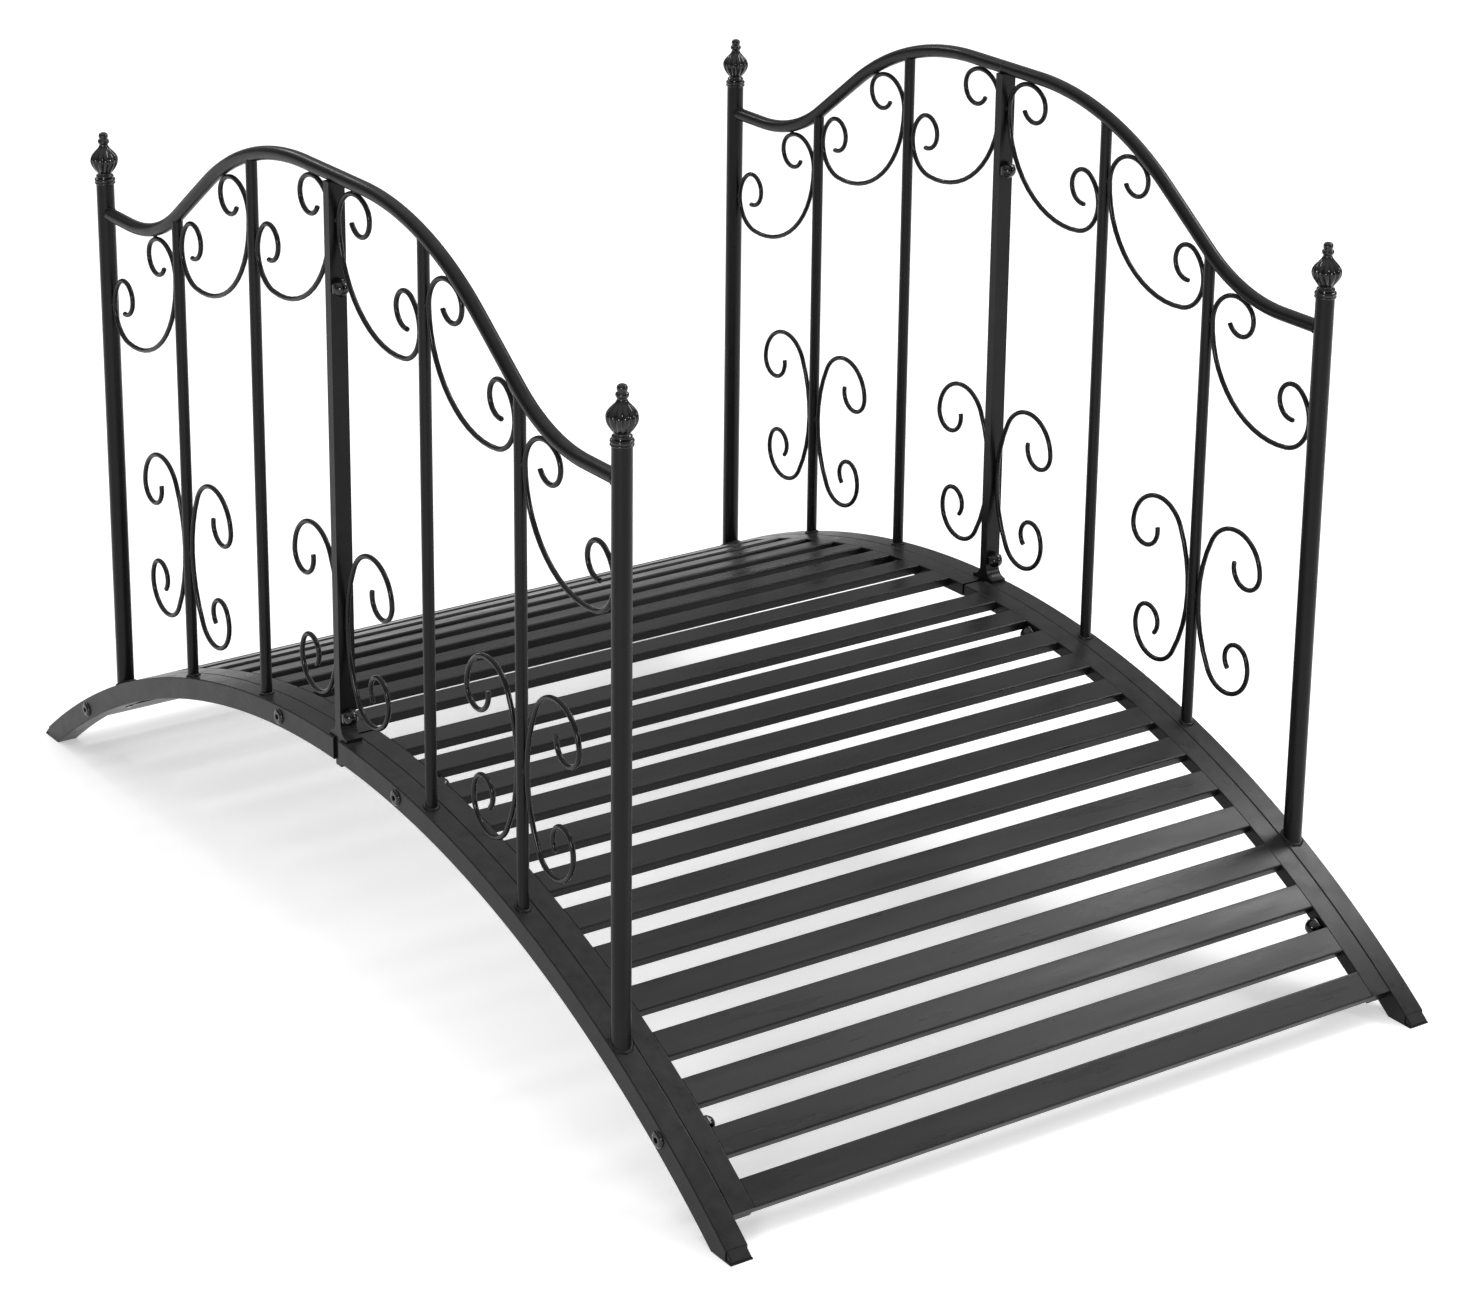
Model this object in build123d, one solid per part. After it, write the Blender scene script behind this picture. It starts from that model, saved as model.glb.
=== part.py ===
from build123d import *
from math import acos, cos, degrees, radians, sin, sqrt
import os

# Arched garden bridge of black steel, with scrolled balustrades. Millimetres, +Z up.
# X runs along the walkway, Y across it, and the feet stand on Z = 0.

# Arch and footprint
arch_radius = 958.0          # top of the arched rails, seen from the side
crown_height = 208.0         # ground to the top of the rails at mid-span
toe_height = 4.0             # of the blunt end of each foot
rail_spacing = 685.0         # across, between the middles of the outer rails

# Outer rails, square tube rolled to the arch
rail_width = 20.0
rail_depth = 20.0
toe_plug_length = 7.5        # how far the end plug shows beyond the tube
toe_wall = 0.9               # the plug is set in this far from the tube's faces
toe_sole_thickness = 1.2     # plate under each foot

# Deck frame between the outer rails
deck_rail_width = 20.0
deck_rail_depth = 12.0
deck_joint_gap = 3.0         # between the two halves of the deck frame
slat_width = 25.5
slat_thickness = 8.0
slat_gap = 20.8
slat_edge_radius = 1.5
slats_per_half = 13
middle_gap = 45.1            # between the two halves' first slats, along the arch

# Uprights
upright_pitch = 142.0
end_post_diameter = 16.0
baluster_diameter = 10.0
centre_bar_width = 15.0      # across the bridge
centre_bar_thickness = 4.5   # each of the two bars that are bolted back to back
centre_bar_tail = 4.5        # how far the bars hang below the outer rails
bar_foot_length = 10.0
bar_foot_thickness = 3.0

# Handrail, round tube bent to a hump over mid-span
handrail_diameter = 12.5
handrail_sides = 12
handrail_crown = 489.0       # middle of the tube above the crown of the arch
handrail_rise = 132.5        # from its level ends to its top
hump_flat = 48.0             # half of the straight piece over mid-span
hump_radius = 296.0
dip_radius = 160.0
bend_angle = 36.5            # slope of the straight piece between hump and dip, degrees
post_above_handrail = 27.0   # end post top over the middle of the tube

# Scrollwork, thin rod bent cold
rod_diameter = 4.2           # drawn square, to keep its faces few
weld_gap = 0.1               # a scroll stands this far off what it is welded to
upper_curl_radius = 28.0     # under the handrail, next to the taller upright
upper_curl_tip_radius = 15.5
upper_belly_angle = 98.0     # the belly's radius follows from the width of its bay
upper_tail_radius = 30.0
upper_tail_tip_radius = 15.5
lower_back_radius = 125.0    # the long bend that is welded to the upright
lower_head_radius = 33.0
lower_head_tip_radius = 16.5
lower_tail_radius = 27.0
lower_tail_tip_radius = 14.0
lower_centre_height = 101.6  # weld of the middle pair above the crown of the arch
lower_side_height = 120.0    # weld of the other pairs above the rail under them

# Finials on the end posts
collar_radius = 9.3
collar_height = 5.4
shoulder_radius = 7.8
shoulder_height = 4.2
neck_radius = 6.4
bulb_radius = 12.6
bulb_shoulder = 46.0         # degrees up from its widest circle to where it draws in
bulb_ribs = 12
bulb_rib_share = 0.5         # of the turn, the rest is grooves
bulb_groove = 1.6            # depth of the grooves at the widest place
bulb_bands = 7
waist_rise = 1.8             # waist over the top of the bulb's sphere
waist_radius = 4.0
stem_height = 2.4            # straight piece over the waist
bead_radius = 5.2
bead_height = 3.8
knob_radius = 4.2
knob_height = 3.8
knob_dome = 1.6
knob_gap = 0.6

# What follows from the sizes above
arch_centre_z = crown_height - arch_radius
foot_reach = sqrt(arch_radius**2 - (toe_height - arch_centre_z) ** 2)
rail_y = rail_spacing / 2
deck_rail_y = rail_y - rail_width / 2 - deck_rail_width / 2
slat_length = 2 * (deck_rail_y - deck_rail_width / 2)
slat_pitch = slat_width + slat_gap
first_slat_arc = middle_gap / 2 + slat_width / 2
deck_end_angle = (middle_gap / 2 + slats_per_half * slat_width
                  + (slats_per_half - 1) * slat_gap) / arch_radius
handrail_radius = handrail_diameter / 2
rod_radius = rod_diameter / 2
handrail_top_z = crown_height + handrail_crown
handrail_end_z = handrail_top_z - handrail_rise
slope = radians(bend_angle)
slope_length = (handrail_rise - (hump_radius + dip_radius) * (1 - cos(slope))) / sin(slope)
dip_reach = hump_flat + (hump_radius + dip_radius) * sin(slope) + slope_length * cos(slope)
post_top_z = handrail_end_z + post_above_handrail
end_post_x = 3 * upright_pitch

# Bends of the scrolls, each a radius and an angle, from the weld to the tip
upper_curl = ((upper_curl_radius, 126.0), (upper_curl_tip_radius, 208.0))
upper_tail = ((upper_tail_radius, 135.0), (upper_tail_tip_radius, 226.0))
lower_head = ((lower_back_radius, 27.0), (lower_head_radius, 151.0),
              (lower_head_tip_radius, 196.0))
lower_tail = ((lower_back_radius, 30.0), (lower_tail_radius, 179.0),
              (lower_tail_tip_radius, 198.0))


def handrail_z(x, below=0.0):
    """Height of a line that runs a set distance under the middle of the handrail."""
    x = abs(x)
    hump = hump_radius - below
    dip = dip_radius + below
    if x <= hump_flat:
        return handrail_top_z - below
    if x <= hump_flat + hump * sin(slope):
        return handrail_top_z - hump_radius + sqrt(hump**2 - (x - hump_flat) ** 2)
    if x >= dip_reach:
        return handrail_end_z - below
    if x >= dip_reach - dip * sin(slope):
        return handrail_end_z + dip_radius - sqrt(dip**2 - (dip_reach - x) ** 2)
    start_x = hump_flat + hump * sin(slope)
    start_z = handrail_top_z - hump_radius + hump * cos(slope)
    return start_z - (x - start_x) * sin(slope) / cos(slope)


def rail_top_z(x):
    """Height of the arched rails' upper face."""
    return arch_centre_z + sqrt(arch_radius**2 - x**2)


def flat_slab(face, width):
    """A face drawn from the side, made solid, half its width to either hand."""
    return extrude(face, width / 2, both=True)


def arched_bar(depth, width, y, x_from, x_to, inset=0.0):
    """Bar rolled to the arch, cut upright at both ends and level at the ground."""
    ring = Circle(arch_radius - inset) - Circle(arch_radius - depth + inset)
    window = Pos((x_from + x_to) / 2, crown_height / 2 - arch_centre_z) * Rectangle(
        x_to - x_from, crown_height)
    side = Plane.XZ * (Pos(0, arch_centre_z) * (ring & window))
    return Pos(0, y, 0) * flat_slab(side, width - 2 * inset)


def rail_with_toe():
    """Front half of an outer rail, its end plugged and a plate under its foot."""
    size = (rail_depth, rail_width, 0)
    tube = arched_bar(*size, centre_bar_thickness, foot_reach - toe_plug_length)
    plug = arched_bar(*size, foot_reach - 3 * toe_plug_length, foot_reach - toe_wall, toe_wall)
    sole = arched_bar(*size, foot_reach / 2, foot_reach) & Pos(foot_reach, 0, 0) * Box(
        foot_reach, rail_width, 2 * toe_sole_thickness)
    return (tube + plug + sole).solids()[0]


def deck_bar(y):
    """One side of a deck frame half, cut square to the arch at its outer end."""
    blank = arched_bar(deck_rail_depth, deck_rail_width, y, deck_joint_gap / 2, foot_reach)
    waste = Rot(0, degrees(deck_end_angle), 0) * Pos(arch_radius / 2, 0, arch_radius) * Box(
        arch_radius, 2 * rail_spacing, arch_radius)
    return blank - Pos(0, 0, arch_centre_z) * waste


def slat(arc):
    """Flat slat with rounded upper edges, laid on the arch at a distance from mid-span."""
    bar = Pos(0, 0, -slat_thickness / 2) * Box(slat_width, slat_length, slat_thickness)
    edges = bar.edges().filter_by(Axis.Y).group_by(Axis.Z)[-1]
    bar = fillet(edges, slat_edge_radius)
    turn = degrees(arc / arch_radius)
    return Pos(0, 0, arch_centre_z) * Rot(0, turn, 0) * Pos(0, 0, arch_radius) * bar


def bent_line(start_x, start_z, heading, turn, bends):
    """Chain of arcs in the side view, each smooth with the last; turn is 1 or -1."""
    edges = []
    x, z, angle = start_x, start_z, radians(heading)
    for radius, sweep_angle in bends:
        cx = x - turn * radius * sin(angle)
        cz = z + turn * radius * cos(angle)
        stops = []
        for part in (0.5, 1.0):
            now = angle + turn * radians(sweep_angle) * part
            stops.append((cx + turn * radius * sin(now), 0, cz - turn * radius * cos(now)))
        edges.append(ThreePointArc((x, 0, z), stops[0], stops[1]))
        x, z = stops[1][0], stops[1][2]
        angle += turn * radians(sweep_angle)
    return edges


def rod_scroll(touch_x, touch_z, up_bends, down_bends):
    """Rod that runs upright past its weld and curls over away from it at both ends."""
    edges = bent_line(touch_x, touch_z, 90, -1, up_bends)
    edges += bent_line(touch_x, touch_z, -90, 1, down_bends)
    section = Pos(touch_x, 0, touch_z) * Rectangle(rod_diameter, rod_diameter)
    upper = sweep(section, path=Wire(edges[:len(up_bends)]))
    lower = sweep(section, path=Wire(edges[len(up_bends):]))
    return (upper + lower).solids()[0]


def upper_scroll(near_face, far_face):
    """Scroll that fills the head of a bay between two upright faces, outward from mid-span."""
    touch_x = near_face + rod_radius + weld_gap
    reach = far_face - rod_radius - weld_gap - touch_x
    lean = cos(radians(upper_belly_angle))
    belly_radius = (reach - upper_tail_radius * (1 + lean)) / (1 - lean)
    under = upper_curl_radius + rod_radius + weld_gap + handrail_radius
    touch_z = handrail_z(touch_x + upper_curl_radius, under)
    belly = ((belly_radius, upper_belly_angle),)
    return rod_scroll(touch_x, touch_z, upper_curl, belly + upper_tail)


def lower_scroll(face_x, touch_z):
    """C-scroll welded by its back to an upright."""
    return rod_scroll(face_x + rod_radius + weld_gap, touch_z, lower_head, lower_tail)


def handrail_half():
    """Front half of a handrail, from the mid-span seam into the end post's place."""
    hump = bent_line(hump_flat, handrail_top_z, 0, -1, ((hump_radius, bend_angle),))
    dip = bent_line(dip_reach, handrail_end_z, 180, -1, ((dip_radius, bend_angle),))
    line = [
        Line((0, 0, handrail_top_z), hump[0] @ 0),
        hump[0],
        Line(hump[0] @ 1, dip[0] @ 1),
        dip[0],
        Line(dip[0] @ 0, (end_post_x, 0, handrail_end_z)),
    ]
    section = Rot(0, 0, 180 / handrail_sides) * RegularPolygon(handrail_radius, handrail_sides)
    return sweep(Plane((0, 0, handrail_top_z), z_dir=(1, 0, 0)) * section, path=Wire(line))


def upright(x, diameter, top_z):
    """Round upright from inside the rail to a height, before it is coped."""
    foot_z = rail_top_z(x + diameter) - rail_depth / 2
    return Pos(x, 0, foot_z) * Cylinder(
        diameter / 2, top_z - foot_z, align=(Align.CENTER, Align.CENTER, Align.MIN))


def turned(outline):
    """Solid of revolution about Z from (radius, height) corners."""
    return revolve(make_face(Polyline([(r, 0, z) for r, z in outline], close=True)), Axis.Z)


def ribbed_outline(radius, z):
    """Ring of ribs with grooves between them, at one height of the bulb."""
    groove = bulb_groove * (radius / bulb_radius) ** 2
    pitch = 360 / bulb_ribs
    half_rib = bulb_rib_share / 2
    corners = []
    for rib in range(bulb_ribs):
        for reach, share in ((radius, -half_rib), (radius, half_rib), (radius - groove, 0.5)):
            angle = radians((rib + share) * pitch)
            corners.append((reach * cos(angle), reach * sin(angle)))
    return Pos(0, 0, z) * make_face(Polyline(corners, close=True))


def finial():
    """Turned finial with a ribbed bulb, standing on Z = 0."""
    rim = collar_height / 3
    neck_z = collar_height + shoulder_height
    foot = turned([(0, 0), (collar_radius - rim / 2, 0), (collar_radius, rim),
                   (collar_radius, collar_height - rim), (collar_radius - rim / 2, collar_height),
                   (shoulder_radius, collar_height), (neck_radius, neck_z), (0, neck_z)])

    lowest = -degrees(acos(neck_radius / bulb_radius))
    wide_z = neck_z - bulb_radius * sin(radians(lowest))
    levels = []
    for band in range(bulb_bands + 1):
        angle = radians(lowest + (bulb_shoulder - lowest) * band / bulb_bands)
        levels.append((bulb_radius * cos(angle), wide_z + bulb_radius * sin(angle)))
    upper_r, upper_z = levels[-1]
    waist_z = wide_z + bulb_radius + waist_rise
    levels.append((waist_radius + (upper_r - waist_radius) * 0.38, (upper_z + waist_z) / 2))
    levels.append((waist_radius, waist_z))
    bulb = loft([ribbed_outline(r, z) for r, z in levels], ruled=True)

    bead_edge = bead_radius - bead_height / 4
    bead_z = waist_z + stem_height + bead_height / 2
    knob_edge = knob_radius - knob_height / 3
    knob_z = bead_z + bead_height / 2 + knob_gap + knob_height / 2
    top_z = knob_z + knob_height / 2 + knob_dome
    head = turned([(0, waist_z), (waist_radius, waist_z), (waist_radius, waist_z + stem_height),
                   (bead_edge, bead_z - bead_height / 4), (bead_radius, bead_z),
                   (bead_edge, bead_z + bead_height / 4),
                   (waist_radius, bead_z + bead_height / 2),
                   (knob_edge, knob_z - knob_height / 2), (knob_radius, knob_z),
                   (knob_edge, knob_z + knob_height / 2), (0, top_z)])
    return (foot + bulb + head).solids()[0]


# One half of one side, drawn on the plane Y = 0 at the front, then placed four times
outer_rail = rail_with_toe()
handrail_blank = handrail_half()
end_post = upright(end_post_x, end_post_diameter, post_top_z) - outer_rail
end_post = end_post.solids().sort_by(Axis.Z)[-1]
handrail = (handrail_blank - upright(end_post_x, end_post_diameter, post_top_z)).solids()[0]

balusters = []
for number in (1, 2):
    x = number * upright_pitch
    blank = upright(x, baluster_diameter, handrail_z(x))
    pieces = (blank - outer_rail - handrail_blank).solids()
    balusters.append(pieces.sort_by(SortBy.VOLUME)[-1])

bar_bottom_z = crown_height - rail_depth - centre_bar_tail
bar_top_z = handrail_top_z - handrail_radius * 0.75
bar = Pos(centre_bar_thickness / 2, 0, bar_bottom_z) * Box(
    centre_bar_thickness, centre_bar_width, bar_top_z - bar_bottom_z,
    align=(Align.CENTER, Align.CENTER, Align.MIN))
foot_height = bar_foot_length + bar_foot_thickness
foot_side = Pos(centre_bar_thickness + bar_foot_length / 2,
                crown_height + foot_height / 2 - bar_foot_thickness / 2) * Rectangle(
    bar_foot_length, foot_height + bar_foot_thickness)
foot_side -= Pos(centre_bar_thickness + bar_foot_length,
                 crown_height + foot_height) * Circle(bar_foot_length)
bar += flat_slab(Plane.XZ * foot_side, centre_bar_width)
centre_bar = (bar - outer_rail - handrail_blank).solids().sort_by(SortBy.VOLUME)[-1]

baluster_radius = baluster_diameter / 2
faces = (
    (centre_bar_thickness, upright_pitch - baluster_radius),
    (upright_pitch + baluster_radius, 2 * upright_pitch - baluster_radius),
    (2 * upright_pitch + baluster_radius, end_post_x - end_post_diameter / 2),
)
upper_scrolls = [upper_scroll(near, far) for near, far in faces]

side_x = 2 * upright_pitch
side_z = rail_top_z(side_x) + lower_side_height
outward = lower_scroll(side_x + baluster_radius, side_z)
inward = Pos(2 * side_x, 0, 0) * mirror(outward, Plane.YZ)
lower_scrolls = [lower_scroll(centre_bar_thickness, crown_height + lower_centre_height),
                 outward, inward]

post_finial = Pos(end_post_x, 0, post_top_z) * finial()

side_pieces = {
    "outer_rail": [outer_rail],
    "end_post": [end_post],
    "balusters": balusters,
    "centre_bar": [centre_bar],
    "handrail": [handrail],
    "upper_scrolls": upper_scrolls,
    "lower_scrolls": lower_scrolls,
    "finial": [post_finial],
    "deck_rail": [deck_bar(deck_rail_y - rail_y)],
}

parts = {}
for side, across in (("left", -1), ("right", 1)):
    for end in ("front", "back"):
        for name, solids in side_pieces.items():
            placed = [Pos(0, rail_y, 0) * solid for solid in solids]
            if across < 0:
                placed = [mirror(solid, Plane.XZ) for solid in placed]
            if end == "back":
                placed = [mirror(solid, Plane.YZ) for solid in placed]
            parts[f"{name}_{side}_{end}"] = placed

front_slats = [slat(first_slat_arc + i * slat_pitch) for i in range(slats_per_half)]
parts["deck_slats_front"] = front_slats
parts["deck_slats_back"] = [mirror(solid, Plane.YZ) for solid in front_slats]

os.makedirs("parts", exist_ok=True)
for name, solids in parts.items():
    shape = solids[0] if len(solids) == 1 else Compound(children=solids)
    export_step(shape, f"parts/{name}.step")
    print(name, len(solids))
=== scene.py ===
import bpy
import bmesh
from math import radians, degrees, sin, cos, tan, atan2, sqrt, pi
from mathutils import Matrix, Vector


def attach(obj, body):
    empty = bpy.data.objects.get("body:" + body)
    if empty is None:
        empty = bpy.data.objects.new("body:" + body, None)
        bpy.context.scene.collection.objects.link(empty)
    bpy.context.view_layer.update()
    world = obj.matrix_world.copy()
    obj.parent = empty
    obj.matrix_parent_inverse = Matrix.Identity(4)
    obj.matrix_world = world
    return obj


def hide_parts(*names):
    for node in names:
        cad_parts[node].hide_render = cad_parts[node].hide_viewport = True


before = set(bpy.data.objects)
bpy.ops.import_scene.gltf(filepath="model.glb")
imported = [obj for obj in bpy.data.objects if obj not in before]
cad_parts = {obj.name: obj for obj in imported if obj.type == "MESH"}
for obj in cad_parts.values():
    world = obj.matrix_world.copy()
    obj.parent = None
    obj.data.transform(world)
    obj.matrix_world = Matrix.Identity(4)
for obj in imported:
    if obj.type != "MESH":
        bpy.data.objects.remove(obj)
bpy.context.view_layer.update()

print("frame loaded:", len(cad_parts), "nodes")

# Shared sizes in millimetres; X along the walkway, Y across, Z up
bridge = {
    "archRadius": 958.0,
    "archCentre": -750.0,      # height of the arch's centre
    "footReach": 590.97,
    "railMiddle": 342.5,       # from the centre line to the middle of an outer rail
    "railSize": 20.0,
    "postX": 426.0,
    "postTop": 591.5,
    "postRadius": 8.0,
    "balusterXs": (142.0, 284.0),
    "balusterRadius": 5.0,
    "barThickness": 4.5,       # each of the two flat bars at mid-span
}
quarters = [(side, end, across, along)
            for side, across in (("left", -1), ("right", 1))
            for end, along in (("front", 1), ("back", -1))]


# black powder coat, the same tree for every slot
powder = {
    "cloudDetail": 5.0,
    "cloudRough": 0.6,
    "cloudStops": (0.30, 0.72),
    "dustAndTopLightFrom": 0.55,              # how far a face turns up before dust and painted top light lie on it
    # pale tone of the dust and of the painted light on the tops
    "dustAndTopLightTone": (0.16, 0.155, 0.155, 1),
    "grainScale": 70.0,
    "grainDetail": 6.0,
    "grainRange": (0.3, 0.7),
    "peelDetail": 3.0,
    "peelDepth": 0.0004,
}


def blackPaint(name, look):
    mat = bpy.data.materials.new(name)
    mat.use_nodes = True
    nodes, links = mat.node_tree.nodes, mat.node_tree.links
    shader = nodes["Principled BSDF"]
    shader.inputs["Specular IOR Level"].default_value = look["gloss"]
    shader.inputs["Coat Weight"].default_value = look["coat"]
    shader.inputs["Coat Roughness"].default_value = look["coatRough"]
    coord = nodes.new("ShaderNodeTexCoord")
    turn = nodes.new("ShaderNodeMapping")
    turn.inputs["Scale"].default_value = look["stretch"]
    links.new(coord.outputs["Object"], turn.inputs["Vector"])

    cloud = nodes.new("ShaderNodeTexNoise")          # slow change of tone over the paint
    cloud.inputs["Scale"].default_value = look["cloudScale"]
    cloud.inputs["Detail"].default_value = powder["cloudDetail"]
    cloud.inputs["Roughness"].default_value = powder["cloudRough"]
    links.new(turn.outputs["Vector"], cloud.inputs["Vector"])
    tone = nodes.new("ShaderNodeValToRGB")
    shades = (look["dark"], look["light"])
    for stop, spot, shade in zip(tone.color_ramp.elements, powder["cloudStops"], shades):
        stop.position = spot
        stop.color = (*shade, 1)
    links.new(cloud.outputs["Fac"], tone.inputs["Fac"])

    # fine dust on faces turned upwards, which is also painted light that makes the tops paler
    shape = nodes.new("ShaderNodeNewGeometry")
    split = nodes.new("ShaderNodeSeparateXYZ")
    links.new(shape.outputs["Normal"], split.inputs["Vector"])
    upward = nodes.new("ShaderNodeMapRange")
    upward.inputs["From Min"].default_value = powder["dustAndTopLightFrom"]
    upward.inputs["To Max"].default_value = look["dustAndTopLight"]
    links.new(split.outputs["Z"], upward.inputs["Value"])
    grain = nodes.new("ShaderNodeTexNoise")
    grain.inputs["Scale"].default_value = powder["grainScale"]
    grain.inputs["Detail"].default_value = powder["grainDetail"]
    links.new(turn.outputs["Vector"], grain.inputs["Vector"])
    share = nodes.new("ShaderNodeMath")
    share.operation = "MULTIPLY"
    links.new(upward.outputs["Result"], share.inputs[0])
    links.new(grain.outputs["Fac"], share.inputs[1])
    dustAndTopLightMix = nodes.new("ShaderNodeMix")
    dustAndTopLightMix.data_type = "RGBA"
    dustAndTopLightMix.inputs["B"].default_value = powder["dustAndTopLightTone"]
    links.new(share.outputs[0], dustAndTopLightMix.inputs["Factor"])
    links.new(tone.outputs["Color"], dustAndTopLightMix.inputs["A"])
    links.new(dustAndTopLightMix.outputs["Result"], shader.inputs["Base Color"])

    rough = nodes.new("ShaderNodeMapRange")
    rough.inputs["From Min"].default_value = powder["grainRange"][0]
    rough.inputs["From Max"].default_value = powder["grainRange"][1]
    rough.inputs["To Min"].default_value = look["rough"][0]
    rough.inputs["To Max"].default_value = look["rough"][1]
    links.new(grain.outputs["Fac"], rough.inputs["Value"])
    links.new(rough.outputs["Result"], shader.inputs["Roughness"])

    peel = nodes.new("ShaderNodeTexNoise")           # orange peel of the baked powder
    peel.inputs["Scale"].default_value = look["peelScale"]
    peel.inputs["Detail"].default_value = powder["peelDetail"]
    links.new(coord.outputs["Object"], peel.inputs["Vector"])
    bump = nodes.new("ShaderNodeBump")
    bump.inputs["Strength"].default_value = look["peel"]
    bump.inputs["Distance"].default_value = powder["peelDepth"]
    links.new(peel.outputs["Fac"], bump.inputs["Height"])
    links.new(bump.outputs["Normal"], shader.inputs["Normal"])
    return mat


# each paint's dust share also paints light onto its upward faces
paints = {
    "frame_paint": blackPaint("frame_black", {
        "dark": (0.0030, 0.0029, 0.0031), "light": (0.0065, 0.0062, 0.0066),
        "gloss": 0.18, "coat": 0.0, "coatRough": 0.3, "rough": (0.26, 0.36),
        "stretch": (1, 1, 1), "cloudScale": 9.0, "dustAndTopLight": 0.22,
        "peelScale": 900.0, "peel": 0.16}),
    "deck_paint": blackPaint("deck_black", {
        "dark": (0.0040, 0.0038, 0.0040), "light": (0.0110, 0.0104, 0.0110),
        "gloss": 0.24, "coat": 0.0, "coatRough": 0.3, "rough": (0.24, 0.38),
        "stretch": (1, 0.12, 1), "cloudScale": 26.0, "dustAndTopLight": 0.13,
        "peelScale": 800.0, "peel": 0.18}),
    "rod_paint": blackPaint("rod_black", {
        "dark": (0.0026, 0.0025, 0.0027), "light": (0.0055, 0.0053, 0.0056),
        "gloss": 0.12, "coat": 0.22, "coatRough": 0.10, "rough": (0.20, 0.30),
        "stretch": (1, 1, 1), "cloudScale": 30.0, "dustAndTopLight": 0.05,
        "peelScale": 1200.0, "peel": 0.10}),
    "finial_paint": blackPaint("finial_black", {
        "dark": (0.0020, 0.0019, 0.0021), "light": (0.0040, 0.0038, 0.0041),
        "gloss": 0.05, "coat": 0.75, "coatRough": 0.07, "rough": (0.16, 0.24),
        "stretch": (1, 1, 1), "cloudScale": 60.0, "dustAndTopLight": 0.04,
        "peelScale": 900.0, "peel": 0.06}),
}
slotOf = {"outer_rail": "frame_paint", "end_post": "frame_paint", "balusters": "frame_paint",
          "centre_bar": "frame_paint", "handrail": "frame_paint", "deck_rail": "frame_paint",
          "deck_slats": "deck_paint", "upper_scrolls": "rod_paint",
          "lower_scrolls": "rod_paint", "finial": "finial_paint"}
for nodeName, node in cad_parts.items():
    family = next(start for start in slotOf if nodeName.startswith(start))
    for place in node.material_slots:
        place.material = paints[slotOf[family]]
    if not node.material_slots:
        node.data.materials.append(paints[slotOf[family]])
print("materials ready:", len(paints))


def closeEnds(bm, chamfer=0.0, segments=2):
    # fills each open ring and takes its sharp edge off
    rims = [e for e in bm.edges if e.is_boundary]
    bmesh.ops.holes_fill(bm, edges=rims, sides=0)
    if chamfer:
        bmesh.ops.bevel(bm, geom=rims, offset=chamfer, offset_type="OFFSET",
                        segments=segments, profile=0.5, affect="EDGES", material=-1)


def newVerts(grown):
    return [item for item in grown if isinstance(item, bmesh.types.BMVert)]


def layTube(bm, ring, place, heading, steps, bendStep):
    # carries a ring along straights (length, 0) and bends (radius, angle) in the side view
    for size, angle in steps:
        if angle == 0:
            move = Vector((cos(heading), 0, sin(heading))) * size
            grown = bmesh.ops.extrude_edge_only(bm, edges=ring)["geom"]
            bmesh.ops.translate(bm, vec=move, verts=newVerts(grown))
            place = place + move
        else:
            hand = 1 if angle > 0 else -1
            centre = place + Vector((-sin(heading), 0, cos(heading))) * size * hand
            grown = bmesh.ops.spin(
                bm, geom=ring, cent=centre, axis=(0, -hand, 0), dvec=(0, 0, 0),
                angle=radians(abs(angle)), steps=max(2, round(abs(angle) / bendStep)),
                use_merge=False, use_duplicate=False)["geom_last"]
            heading += radians(angle)
            place = centre + Vector((sin(heading), 0, -cos(heading))) * size * hand
        ring = [item for item in grown if isinstance(item, bmesh.types.BMEdge)]


def tubeRing(bm, place, heading, radius, sides):
    turn = Matrix.Translation(place) @ Matrix.Rotation(pi / 2 - heading, 4, "Y")
    made = bmesh.ops.create_circle(bm, cap_ends=False, radius=radius, segments=sides, matrix=turn)
    return list({e for v in made["verts"] for e in v.link_edges})


def turnedProfile(bm, outline, steps, centre=(0, 0, 0)):
    # outline is (radius, height) pairs, turned all the way round the Z axis
    verts = [bm.verts.new((centre[0] + r, centre[1], centre[2] + h)) for r, h in outline]
    edges = [bm.edges.new(pair) for pair in zip(verts, verts[1:])]
    bmesh.ops.spin(bm, geom=verts + edges, cent=centre, axis=(0, 0, 1), dvec=(0, 0, 0),
                   angle=2 * pi, steps=steps, use_merge=True, use_duplicate=False)
    bmesh.ops.remove_doubles(bm, verts=bm.verts, dist=0.0005)


def cutAway(bm, spot, direction):
    # takes away what lies on the direction's side of the plane, and closes the cut
    bmesh.ops.bisect_plane(bm, geom=bm.verts[:] + bm.edges[:] + bm.faces[:], dist=0.0001,
                           plane_co=spot, plane_no=direction, clear_outer=True)
    bmesh.ops.holes_fill(bm, edges=[e for e in bm.edges if e.is_boundary], sides=0)


def addPiece(name, bm, slotName, nodes=(), sharpAngle=38):
    bmesh.ops.scale(bm, vec=(0.001, 0.001, 0.001), verts=bm.verts)
    bmesh.ops.recalc_face_normals(bm, faces=bm.faces)
    mesh = bpy.data.meshes.new(name)
    bm.to_mesh(mesh)
    bm.free()
    mesh.materials.append(paints[slotName])
    mesh.shade_smooth()
    mesh.set_sharp_from_angle(angle=radians(sharpAngle))
    piece = bpy.data.objects.new(name, mesh)
    bpy.context.scene.collection.objects.link(piece)
    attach(piece, "root")
    if nodes:
        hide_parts(*nodes)
    return piece


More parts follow.
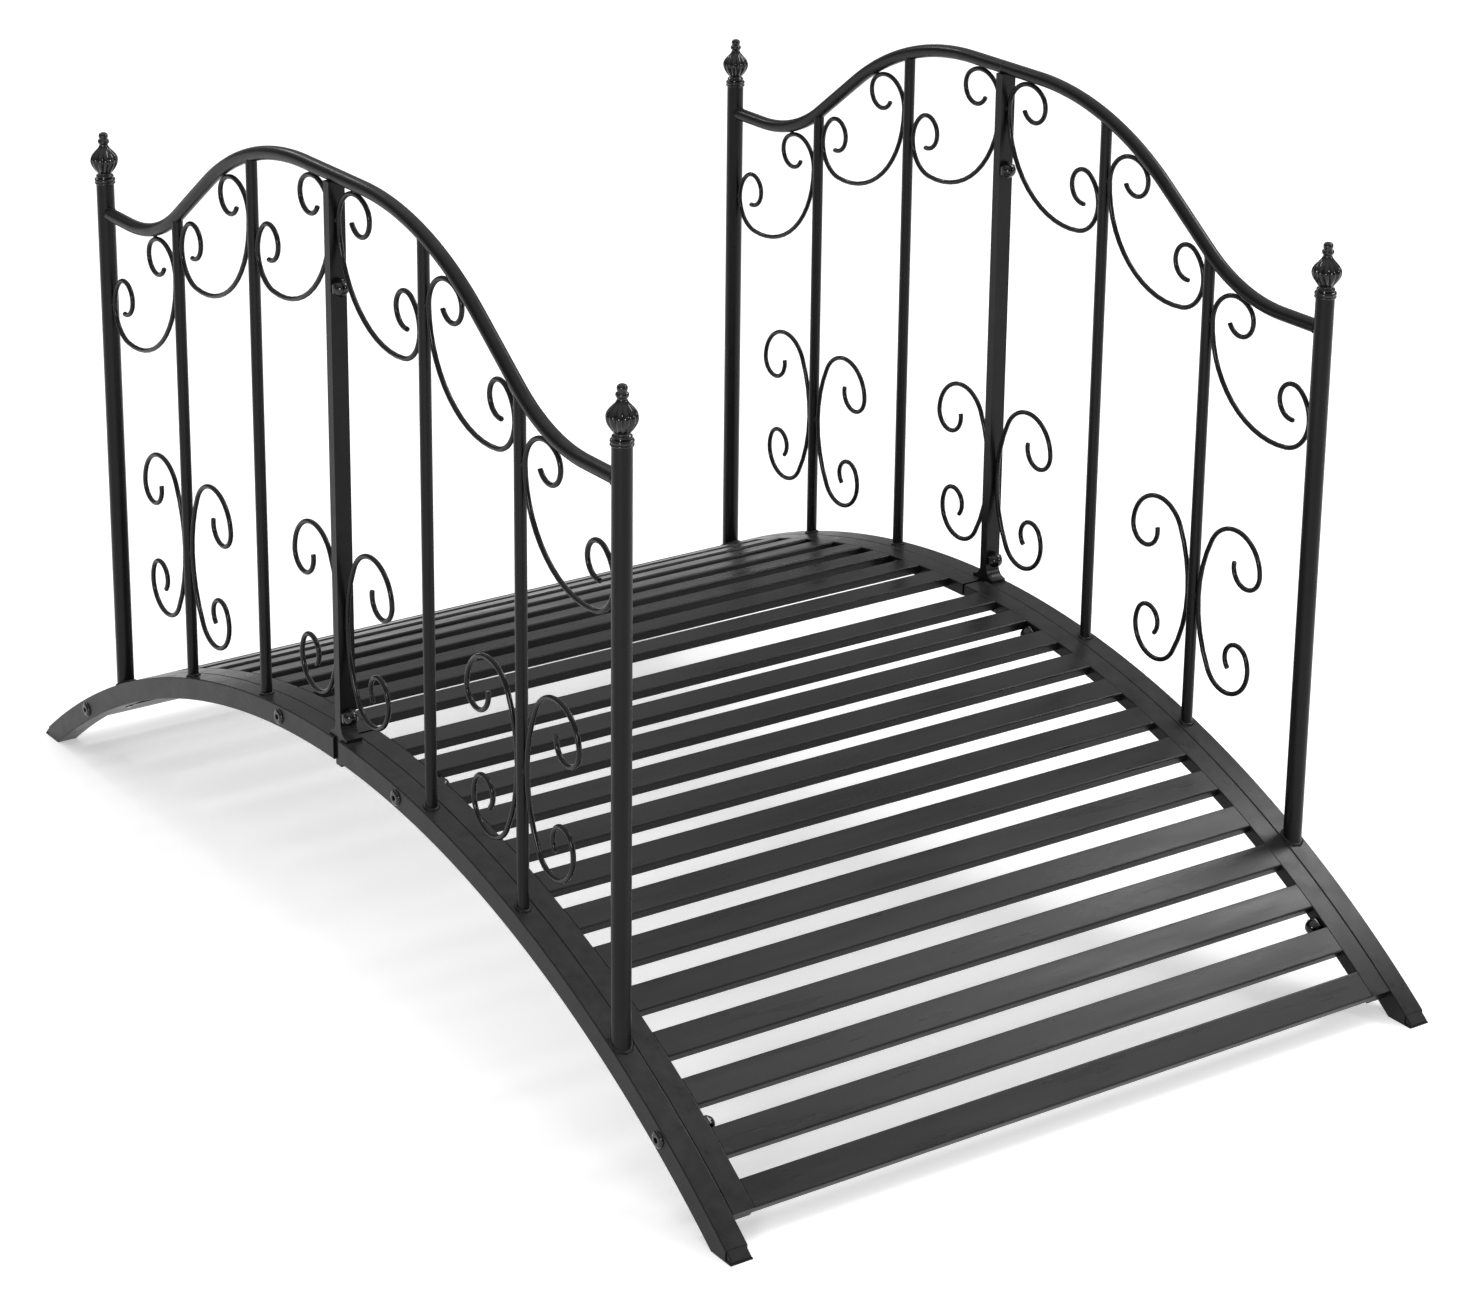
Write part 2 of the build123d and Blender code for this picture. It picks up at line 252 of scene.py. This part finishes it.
def addQuarters(name, build, slotName, nodeName=None, sharpAngle=38):
    # build draws the front right quarter, which is then placed at all four
    for side, end, across, along in quarters:
        bm = bmesh.new()
        build(bm)
        bmesh.ops.scale(bm, vec=(along, across, 1), verts=bm.verts)
        nodes = [f"{nodeName}_{side}_{end}"] if nodeName else []
        addPiece(f"{name}_{side}_{end}", bm, slotName, nodes, sharpAngle)


def joinInto(bm, other, matrix=Matrix()):
    # adds a shape drawn at the origin, placed by the matrix
    bmesh.ops.transform(other, matrix=matrix, verts=other.verts)
    spare = bpy.data.meshes.new("spare")
    other.to_mesh(spare)
    other.free()
    bm.from_mesh(spare)
    bpy.data.meshes.remove(spare)


def railTop(x):
    return bridge["archCentre"] + sqrt(bridge["archRadius"] ** 2 - x * x)


# outer rails and deck side rails, square tube rolled to the arch
archedRails = {
    "cornerRadius": 1.1,
    "cornerSegments": 3,
    "steps": 64,
    "sweep": 39.0,           # degrees from mid-span, cut off at the foot
    "tubeEnd": 583.5,        # the tube's walls stop here, and a plug closes it
    "plugInset": 0.9,
    "plugLength": 6.0,       # inside the tube
    "plugShort": 0.8,        # behind the foot's tip
    "plugLift": 0.2,
    "soleThickness": 1.2,
    "deckWidth": 20.0,
    "deckDepth": 12.0,
    "deckMiddle": 322.5,
    "deckCorner": 1.0,
    "deckStart": 1.5,
    "deckEndAngle": degrees(603.65 / bridge["archRadius"]),
    "sharpAngle": 10,
}


def archedTube(bm, y, width, depth, corner, inset=0.0):
    radius = bridge["archRadius"]
    start = Matrix.Translation((0, y, bridge["archCentre"] + radius - depth / 2))
    start = start @ Matrix.Rotation(pi / 2, 4, "Y")
    made = bmesh.ops.create_grid(bm, x_segments=1, y_segments=1, size=0.5, matrix=Matrix())
    size = Matrix.Diagonal((depth - 2 * inset, width - 2 * inset, 1, 1))
    bmesh.ops.transform(bm, matrix=start @ size, verts=made["verts"])
    bmesh.ops.bevel(bm, geom=made["verts"], offset=corner, offset_type="OFFSET",
                    segments=archedRails["cornerSegments"], profile=0.5, affect="VERTICES",
                    material=-1)
    bmesh.ops.delete(bm, geom=bm.faces[:], context="FACES_ONLY")
    bmesh.ops.spin(bm, geom=bm.verts[:] + bm.edges[:], cent=(0, y, bridge["archCentre"]),
                   axis=(0, 1, 0), dvec=(0, 0, 0), angle=radians(archedRails["sweep"]),
                   steps=archedRails["steps"], use_merge=False, use_duplicate=False)


def railTube(bm, inset=0.0):
    archedTube(bm, bridge["railMiddle"], bridge["railSize"], bridge["railSize"],
               archedRails["cornerRadius"], inset)


def outerRail(bm):
    railTube(bm)
    cutAway(bm, (bridge["barThickness"], 0, 0), (-1, 0, 0))
    cutAway(bm, (archedRails["tubeEnd"], 0, 0), (1, 0, 0))
    cutAway(bm, (0, 0, archedRails["soleThickness"]), (0, 0, -1))
    plug = bmesh.new()           # end plug, a little inside the tube's walls
    railTube(plug, archedRails["plugInset"])
    cutAway(plug, (archedRails["tubeEnd"] - archedRails["plugLength"], 0, 0), (-1, 0, 0))
    cutAway(plug, (bridge["footReach"] - archedRails["plugShort"], 0, 0), (1, 0, 0))
    cutAway(plug, (0, 0, archedRails["plugLift"]), (0, 0, -1))
    joinInto(bm, plug)
    sole = bmesh.new()           # thin plate under the foot, seen as a rim round it
    railTube(sole)
    cutAway(sole, (0, 0, archedRails["soleThickness"]), (0, 0, 1))
    cutAway(sole, (0, 0, 0), (0, 0, -1))
    cutAway(sole, (bridge["footReach"], 0, 0), (1, 0, 0))
    joinInto(bm, sole)


def deckRail(bm):
    archedTube(bm, archedRails["deckMiddle"], archedRails["deckWidth"],
               archedRails["deckDepth"], archedRails["deckCorner"])
    cutAway(bm, (archedRails["deckStart"], 0, 0), (-1, 0, 0))
    angle = radians(archedRails["deckEndAngle"])
    cutAway(bm, (0, 0, bridge["archCentre"]), (cos(angle), 0, -sin(angle)))


addQuarters("arch_rail", outerRail, "frame_paint", "outer_rail", archedRails["sharpAngle"])
addQuarters("deck_side", deckRail, "frame_paint", "deck_rail", archedRails["sharpAngle"])
print("arched rails done")


# handrails, round tube bent to a hump
handrail = {
    "radius": 6.04,
    "sides": 28,
    "topHeight": 697.0,
    "rise": 132.5,
    "humpFlat": 48.0,
    "humpRadius": 296.0,
    "dipRadius": 160.0,
    "bendAngle": 36.5,
    "bendStep": 1.5,
    "endChamfer": 0.35,
}
slope = radians(handrail["bendAngle"])
bendSum = handrail["humpRadius"] + handrail["dipRadius"]
slopeRun = (handrail["rise"] - bendSum * (1 - cos(slope))) / sin(slope)
dipReach = handrail["humpFlat"] + bendSum * sin(slope) + slopeRun * cos(slope)
endHeight = handrail["topHeight"] - handrail["rise"]


def handrailHeight(x, below=0.0):
    # height of a line that runs a set distance under the tube's middle
    hump, dip = handrail["humpRadius"] - below, handrail["dipRadius"] + below
    flat, top = handrail["humpFlat"], handrail["topHeight"]
    if x <= flat:
        return top - below
    if x <= flat + hump * sin(slope):
        return top - handrail["humpRadius"] + sqrt(hump ** 2 - (x - flat) ** 2)
    if x >= dipReach:
        return endHeight - below
    if x >= dipReach - dip * sin(slope):
        return endHeight + handrail["dipRadius"] - sqrt(dip ** 2 - (dipReach - x) ** 2)
    startX = flat + hump * sin(slope)
    return top - handrail["humpRadius"] + hump * cos(slope) - (x - startX) * tan(slope)


def handrailTube(bm):
    start = Vector((0, bridge["railMiddle"], handrail["topHeight"]))
    ring = tubeRing(bm, start, 0, handrail["radius"], handrail["sides"])
    layTube(bm, ring, start, 0, (
        (handrail["humpFlat"], 0),
        (handrail["humpRadius"], -handrail["bendAngle"]),
        (slopeRun, 0),
        (handrail["dipRadius"], handrail["bendAngle"]),
        (bridge["postX"] - dipReach, 0)), handrail["bendStep"])
    closeEnds(bm, handrail["endChamfer"], 1)


addQuarters("handrail_tube", handrailTube, "frame_paint", "handrail")
print("handrails done")


# scrollwork, round rod bent cold
scrollRods = {
    "radius": 2.2,
    "sides": 12,
    "bendStep": 7.0,
    "tipRound": 0.7,
    "curl": ((28.0, 126.0), (15.5, 208.0)),       # under the handrail
    "bellyAngle": 98.0,
    "tail": ((30.0, 135.0), (15.5, 226.0)),
    "lowerHead": ((125.0, 27.0), (33.0, 151.0), (16.5, 196.0)),
    "lowerTail": ((125.0, 30.0), (27.0, 179.0), (14.0, 198.0)),
    "middleHeight": 309.6,
    "sideHeight": 120.0,                          # above the rail under it
    "underRail": 6.25,                            # from the handrail's middle to the curl's top
}
barFace = bridge["barThickness"]
nearX, farX = bridge["balusterXs"]
thin = bridge["balusterRadius"]
bays = ((barFace, nearX - thin), (nearX + thin, farX - thin),
        (farX + thin, bridge["postX"] - bridge["postRadius"]))


def bentRod(bm, faceX, height, upward, downward):
    place = Vector((faceX + scrollRods["radius"], bridge["railMiddle"], height))
    ring = tubeRing(bm, place, pi / 2, scrollRods["radius"], scrollRods["sides"])
    layTube(bm, ring, place, pi / 2, [(r, -a) for r, a in upward], scrollRods["bendStep"])
    layTube(bm, ring, place, -pi / 2, list(downward), scrollRods["bendStep"])


def upperLine(nearFace, farFace):
    # weld height on the near upright, belly radius and weld height on the far one
    rod = scrollRods["radius"]
    curlRadius, tailRadius = scrollRods["curl"][0][0], scrollRods["tail"][0][0]
    lean = cos(radians(scrollRods["bellyAngle"]))
    reach = farFace - nearFace - 2 * rod
    belly = (reach - tailRadius * (1 + lean)) / (1 - lean)
    height = handrailHeight(nearFace + rod + curlRadius,
                            curlRadius + rod + scrollRods["underRail"])
    farHeight = height - (belly - tailRadius) * sin(radians(scrollRods["bellyAngle"]))
    return height, belly, farHeight


def upperScrolls(bm):
    for nearFace, farFace in bays:
        height, belly, farHeight = upperLine(nearFace, farFace)
        bentRod(bm, nearFace, height, scrollRods["curl"],
                ((belly, scrollRods["bellyAngle"]),) + scrollRods["tail"])
    closeEnds(bm, scrollRods["tipRound"])


def lowerScrolls(bm):
    sideHeight = railTop(farX) + scrollRods["sideHeight"]
    curls = scrollRods["lowerHead"], scrollRods["lowerTail"]
    bentRod(bm, barFace, scrollRods["middleHeight"], *curls)
    bentRod(bm, farX + thin, sideHeight, *curls)
    closeEnds(bm, scrollRods["tipRound"])
    inward = bmesh.new()         # the rod on the baluster's other side
    bentRod(inward, farX + thin, sideHeight, *curls)
    closeEnds(inward, scrollRods["tipRound"])
    flip = Matrix.Translation((2 * farX, 0, 0)) @ Matrix.Diagonal((-1, 1, 1, 1))
    joinInto(bm, inward, flip)


addQuarters("upper_rods", upperScrolls, "rod_paint", "upper_scrolls")
addQuarters("lower_rods", lowerScrolls, "rod_paint", "lower_scrolls")
print("scrollwork done")


# finials on the end posts, turned and ribbed
finials = {
    "steps": 96,
    "ribs": 12,
    "ribDepth": 0.12,        # share of the radius
    "ribFade": 2.2,          # how soon the ribs reach full depth
    "ribCrease": 1.25,
    "sharpAngle": 50,
    "bulbFrom": 10.2,
    "bulbTo": 33.0,
    "outline": (
        (0.0, 0.0), (8.6, 0.0), (9.1, 0.4), (9.3, 1.0), (9.1, 1.7), (8.7, 2.0), (8.9, 2.4),
        (9.3, 3.2), (9.3, 4.3), (8.9, 5.1), (8.1, 5.5), (7.3, 5.7), (7.2, 6.2), (7.8, 6.7),
        (7.9, 7.5), (7.4, 8.3), (6.6, 8.8), (6.3, 9.4), (6.6, 10.2), (7.5, 11.3), (8.7, 12.8),
        (10.0, 14.6), (11.1, 16.4), (11.95, 18.2), (12.45, 20.0), (12.6, 21.8), (12.35, 23.6),
        (11.6, 25.4), (10.4, 27.2), (8.9, 29.0), (7.3, 30.7), (5.8, 32.2), (4.8, 33.6),
        (4.2, 34.8),
        (3.9, 35.8), (4.0, 36.6), (4.4, 37.0), (5.0, 37.7), (5.2, 38.8), (5.0, 39.9), (4.4, 40.6),
        (3.7, 41.0), (3.6, 41.5), (3.9, 42.0), (4.2, 43.0), (4.2, 44.2), (3.9, 45.4),
        (3.2, 46.3), (2.0, 46.9), (0.0, 47.1)),
}


def finial(bm):
    centre = Vector((bridge["postX"], bridge["railMiddle"], bridge["postTop"]))
    turnedProfile(bm, finials["outline"], finials["steps"], centre)
    low, high = finials["bulbFrom"], finials["bulbTo"]
    for vert in bm.verts:
        arm = vert.co - centre
        if low < arm.z < high:
            fade = min(1.0, finials["ribFade"] * sin(pi * (arm.z - low) / (high - low)))
            around = atan2(arm.y, arm.x)
            dip = (1 - abs(sin(around * finials["ribs"] / 2))) ** finials["ribCrease"]
            pull = 1 - finials["ribDepth"] * fade * dip
            vert.co = centre + Vector((arm.x * pull, arm.y * pull, arm.z))


addQuarters("ribbed_finial", finial, "finial_paint", "finial", finials["sharpAngle"])
print("finials done")


# bolts through the outer rails and the bars at mid-span
bolts = {
    "railXs": (101.0, 493.0),
    "barHeights": (228.5, 604.0),
    "steps": 24,
    "socket": 2.3,           # half across the flats
    "socketDepth": 1.5,
    "head": ((2.9, 2.1), (3.6, 2.42), (4.8, 2.3), (5.9, 1.85), (6.7, 1.2), (7.1, 0.45),
             (7.1, 0.0)),
    "nutRadius": 8.0,        # to the corners
    "nutHeight": 4.6,
    "nutEdge": 0.5,
    "domeRadius": 6.8,
    "domeCut": 0.6,          # the ball is cut this far above its middle
    "domeSink": 0.7,
    "sharpAngle": 34,
}


def boltHead():
    bm = bmesh.new()
    turnedProfile(bm, bolts["head"], bolts["steps"])
    mouthRadius = bolts["head"][0][0]
    rim = [vert for vert in bm.verts if abs(vert.co.xy.length - mouthRadius) < 0.01]
    for vert in rim:             # the round mouth becomes a six-sided socket
        around = atan2(vert.co.y, vert.co.x) % (pi / 3) - pi / 6
        reach = bolts["socket"] / cos(around) / vert.co.xy.length
        vert.co.x, vert.co.y = vert.co.x * reach, vert.co.y * reach
    mouth = [e for e in bm.edges if e.is_boundary and e.verts[0] in rim]
    grown = bmesh.ops.extrude_edge_only(bm, edges=mouth)["geom"]
    bmesh.ops.translate(bm, vec=(0, 0, -bolts["socketDepth"]), verts=newVerts(grown))
    bmesh.ops.holes_fill(bm, edges=[e for e in bm.edges if e.is_boundary], sides=0)
    return bm


def capNut():
    bm = bmesh.new()
    bmesh.ops.create_cone(bm, cap_ends=True, segments=6, radius1=bolts["nutRadius"],
                          radius2=bolts["nutRadius"], depth=bolts["nutHeight"],
                          matrix=Matrix.Translation((0, 0, bolts["nutHeight"] / 2)))
    bmesh.ops.bevel(bm, geom=bm.edges[:], offset=bolts["nutEdge"], offset_type="OFFSET",
                    segments=2, profile=0.5, affect="EDGES", material=-1)
    dome = bmesh.new()
    bmesh.ops.create_uvsphere(dome, u_segments=24, v_segments=16, radius=bolts["domeRadius"])
    cutAway(dome, (0, 0, bolts["domeCut"]), (0, 0, -1))
    joinInto(bm, dome, Matrix.Translation((0, 0, bolts["nutHeight"] - bolts["domeSink"])))
    return bm


def facing(place, direction):
    turn = Vector(direction).to_track_quat("Z", "Y").to_matrix().to_4x4()
    return Matrix.Translation(place) @ turn


def railBolts(bm):
    outer = bridge["railMiddle"] + bridge["railSize"] / 2
    inner = archedRails["deckMiddle"] - archedRails["deckWidth"] / 2
    for x in bolts["railXs"]:
        middleRadius = bridge["archRadius"] - bridge["railSize"] / 2
        middle = bridge["archCentre"] + sqrt(middleRadius ** 2 - x * x)
        joinInto(bm, boltHead(), facing((x, outer, middle), (0, 1, 0)))
        joinInto(bm, capNut(), facing((x, inner, middle), (0, -1, 0)))


def barBolts(bm, along):
    for height in bolts["barHeights"]:
        place = (along * bridge["barThickness"], bridge["railMiddle"], height)
        joinInto(bm, capNut() if along > 0 else boltHead(), facing(place, (along, 0, 0)))


addQuarters("rail_bolts", railBolts, "finial_paint", sharpAngle=bolts["sharpAngle"])
for side, across in (("left", -1), ("right", 1)):
    bm = bmesh.new()
    barBolts(bm, 1)
    barBolts(bm, -1)
    bmesh.ops.scale(bm, vec=(1, across, 1), verts=bm.verts)
    addPiece(f"bar_bolts_{side}", bm, "finial_paint", sharpAngle=bolts["sharpAngle"])
print("bolts and cap nuts done")


# weld beads at every joint of the balustrades
welds = {
    "footBead": 1.5,
    "footSteps": 30,
    "footOut": 0.3,          # middle of the bead, out from the upright
    "footUp": 0.2,           # and up from the rail
    "ripples": ((9, 0, 0.035), (17, 1, 0.02)),   # waves round the bead, start, depth
    "dotRadius": 1.7,
    "dotFlat": 0.8,
    "dotStretch": 1.5,
    "dotSink": 0.2,
    "upperPair": (-1.4, 1.4),                    # either side of a rod
    "lowerPair": (-1.5, 1.5),
    "lowerStretch": 2.4,
    "slopeBelow": 36.0,      # where the handrail's slope over a curl is taken
    "slopeStep": 0.5,
    "headRing": {"dots": 8, "alongX": 4.5, "acrossY": 3.4, "drop": 5.6, "stretch": 0.8},
    "endRing": {"dots": 10, "inside": 6.9, "upZ": 5.9, "acrossY": 5.4, "stretch": 0.9},
    "sharpAngle": 80,
}


def footWeld(bm, x, radius):
    # a bead laid round an upright where it meets the sloping rail
    ringBm = bmesh.new()
    place = Matrix.Translation((radius + welds["footOut"], 0, welds["footUp"]))
    bmesh.ops.create_circle(ringBm, cap_ends=False, radius=welds["footBead"], segments=8,
                            matrix=place @ Matrix.Rotation(pi / 2, 4, "X"))
    bmesh.ops.spin(ringBm, geom=ringBm.verts[:] + ringBm.edges[:], cent=(0, 0, 0), axis=(0, 0, 1),
                   dvec=(0, 0, 0), angle=2 * pi, steps=welds["footSteps"], use_merge=True,
                   use_duplicate=False)
    bmesh.ops.remove_doubles(ringBm, verts=ringBm.verts, dist=0.0005)
    lean = -x / sqrt(bridge["archRadius"] ** 2 - x * x)
    for vert in ringBm.verts:    # ripples of the bead, then the slope of the rail
        around = atan2(vert.co.y, vert.co.x)
        ripple = 1 + sum(depth * sin(waves * around + start)
                         for waves, start, depth in welds["ripples"])
        vert.co = Vector((vert.co.x * ripple, vert.co.y * ripple, vert.co.z + vert.co.x * lean))
    joinInto(bm, ringBm, Matrix.Translation((x, bridge["railMiddle"], railTop(x))))


def dotWeld(bm, x, z, lean=0.0, y=None, stretch=None):
    dot = bmesh.new()
    bmesh.ops.create_icosphere(dot, subdivisions=2, radius=welds["dotRadius"])
    size = Matrix.Diagonal((welds["dotFlat"], 1.0, stretch or welds["dotStretch"], 1))
    place = (x, bridge["railMiddle"] if y is None else y, z)
    joinInto(bm, dot, Matrix.Translation(place) @ Matrix.Rotation(lean, 4, "Y") @ size)


def scrollWelds(bm):
    middle, sink = bridge["railMiddle"], welds["dotSink"]
    reach = scrollRods["curl"][0][0] + scrollRods["radius"]
    below, step = welds["slopeBelow"], welds["slopeStep"]
    for nearFace, farFace in bays:
        height, belly, farHeight = upperLine(nearFace, farFace)
        for y in welds["upperPair"]:
            dotWeld(bm, nearFace + sink, height, y=middle + y)
            dotWeld(bm, farFace - sink, farHeight, y=middle + y)
        topX = nearFace + reach
        fall = atan2(handrailHeight(topX, below) - handrailHeight(topX + step, below), step)
        dotWeld(bm, topX + reach * sin(fall), height + reach * cos(fall), fall + pi / 2)
    dotWeld(bm, barFace + sink, scrollRods["middleHeight"], stretch=welds["lowerStretch"])
    sideHeight = railTop(farX) + scrollRods["sideHeight"]
    for face in (farX + thin, farX - thin):
        for y in welds["lowerPair"]:
            dotWeld(bm, face, sideHeight, y=middle + y, stretch=welds["lowerStretch"])


def railWelds(bm):
    # rings of dots round the baluster heads and the handrail's end at the post
    middle, ring = bridge["railMiddle"], welds["headRing"]
    for x in bridge["balusterXs"]:
        fall = handrailHeight(x + 1) - handrailHeight(x)
        for turn in range(ring["dots"]):
            around = turn * 2 * pi / ring["dots"]
            reach = ring["alongX"] * cos(around)
            dotWeld(bm, x + reach, handrailHeight(x) - ring["drop"] + reach * fall,
                    y=middle + ring["acrossY"] * sin(around), stretch=ring["stretch"])
    ring = welds["endRing"]
    for turn in range(ring["dots"]):
        around = turn * 2 * pi / ring["dots"]
        dotWeld(bm, bridge["postX"] - ring["inside"], endHeight + ring["upZ"] * sin(around),
                y=middle + ring["acrossY"] * cos(around), stretch=ring["stretch"])


def weldBeads(bm):
    for x in bridge["balusterXs"]:
        footWeld(bm, x, bridge["balusterRadius"])
    footWeld(bm, bridge["postX"], bridge["postRadius"])
    scrollWelds(bm)
    railWelds(bm)


addQuarters("weld_beads", weldBeads, "frame_paint", sharpAngle=welds["sharpAngle"])
print("weld beads done")


# floor, light and camera
studio = {
    "floorSize": 14.0,
    "floorTone": 0.90,
    "floorMottle": 0.006,    # how much darker the floor's clouds are
    "floorGlow": 0.40,       # for the camera and for reflections, so the open floor is white
    "floorRough": 0.65,
    "floorGloss": 0.15,
    "sky": ((0.0, 0.24), (0.30, 0.30), (0.55, 0.60), (0.85, 1.0)),   # height of view, light
    "lamps": (               # place, aim, width, height, watts
        ((0.4, 2.5, 2.6), (0.3, 0.2, 0.2), 1.2, 1.2, 38.0),
        ((3.1, 2.6, 1.8), (0.0, 0.0, 0.4), 0.55, 0.55, 24.0),
        ((2.6, -3.2, 1.1), (0.0, 0.0, 0.6), 1.2, 0.8, 50.0),
        ((-3.0, -0.4, 2.3), (0.0, 0.0, 0.4), 0.40, 0.40, 10.0),
    ),
}
camera = {
    "place": (2.66800635, -1.79581326, 1.51659631),
    "azimuth": 55.844,
    "elevation": 18.427,
    "roll": 0.486,
    "lens": 94.916,
    "sensor": 36.0,
    "shift": (0.02703, -0.17095),
}

bm = bmesh.new()
bmesh.ops.create_circle(bm, cap_ends=True, radius=studio["floorSize"], segments=96)
mesh = bpy.data.meshes.new("studio_floor")
bm.to_mesh(mesh)
bm.free()
floor = bpy.data.objects.new("studio_floor", mesh)
bpy.context.scene.collection.objects.link(floor)
floorMat = bpy.data.materials.new("floor_white")
floorMat.use_nodes = True
nodes, links = floorMat.node_tree.nodes, floorMat.node_tree.links
matte = nodes["Principled BSDF"]
matte.inputs["Roughness"].default_value = studio["floorRough"]
matte.inputs["Specular IOR Level"].default_value = studio["floorGloss"]
coord = nodes.new("ShaderNodeTexCoord")
mottle = nodes.new("ShaderNodeTexNoise")
mottle.inputs["Scale"].default_value = 3.0
ramp = nodes.new("ShaderNodeValToRGB")
tones = studio["floorTone"] - studio["floorMottle"], studio["floorTone"]
for stop, tone in zip(ramp.color_ramp.elements, tones):
    stop.color = (tone, tone * 0.997, tone, 1)
links.new(coord.outputs["Object"], mottle.inputs["Vector"])
links.new(mottle.outputs["Fac"], ramp.inputs["Fac"])
links.new(ramp.outputs["Color"], matte.inputs["Base Color"])
ray = nodes.new("ShaderNodeLightPath")
seen = nodes.new("ShaderNodeMath")
seen.operation = "MAXIMUM"
links.new(ray.outputs["Is Camera Ray"], seen.inputs[0])
links.new(ray.outputs["Is Glossy Ray"], seen.inputs[1])
glow = nodes.new("ShaderNodeMath")
glow.operation = "MULTIPLY"
glow.inputs[1].default_value = studio["floorGlow"]
links.new(seen.outputs[0], glow.inputs[0])
matte.inputs["Emission Color"].default_value = (1, 1, 1, 1)
links.new(glow.outputs[0], matte.inputs["Emission Strength"])
mesh.materials.append(floorMat)

world = bpy.data.worlds.new("studio_white")
bpy.context.scene.world = world
world.use_nodes = True
nodes, links = world.node_tree.nodes, world.node_tree.links
coord = nodes.new("ShaderNodeTexCoord")
split = nodes.new("ShaderNodeSeparateXYZ")
links.new(coord.outputs["Generated"], split.inputs["Vector"])
sky = nodes.new("ShaderNodeValToRGB")            # soft light overhead, falling off to the sides
stops = sky.color_ramp.elements
while len(stops) < len(studio["sky"]):
    stops.new(0.5)
for stop, (height, light) in zip(stops, studio["sky"]):
    stop.position = height
    stop.color = (light, light, light, 1)
links.new(split.outputs["Z"], sky.inputs["Fac"])
links.new(sky.outputs["Color"], nodes["Background"].inputs["Color"])

for number, (place, aim, width, height, power) in enumerate(studio["lamps"]):
    lampData = bpy.data.lights.new(f"softbox_{number}", "AREA")
    lampData.shape = "ELLIPSE"
    lampData.size, lampData.size_y = width, height
    lampData.energy = power
    lamp = bpy.data.objects.new(f"softbox_{number}", lampData)
    lamp.matrix_world = Matrix.Translation(place) @ (
        Vector(place) - Vector(aim)).to_track_quat("Z", "Y").to_matrix().to_4x4()
    bpy.context.scene.collection.objects.link(lamp)

camData = bpy.data.cameras.new("photo_camera")
camData.lens = camera["lens"]
camData.sensor_width = camera["sensor"]
camData.shift_x, camData.shift_y = camera["shift"]
cam = bpy.data.objects.new("photo_camera", camData)
bpy.context.scene.collection.objects.link(cam)
cam.matrix_world = (Matrix.Translation(camera["place"])
                    @ Matrix.Rotation(radians(camera["azimuth"]), 4, "Z")
                    @ Matrix.Rotation(radians(90 - camera["elevation"]), 4, "X")
                    @ Matrix.Rotation(radians(camera["roll"]), 4, "Z"))
bpy.context.scene.camera = cam
bpy.context.scene.view_settings.view_transform = "Standard"
print("studio ready")
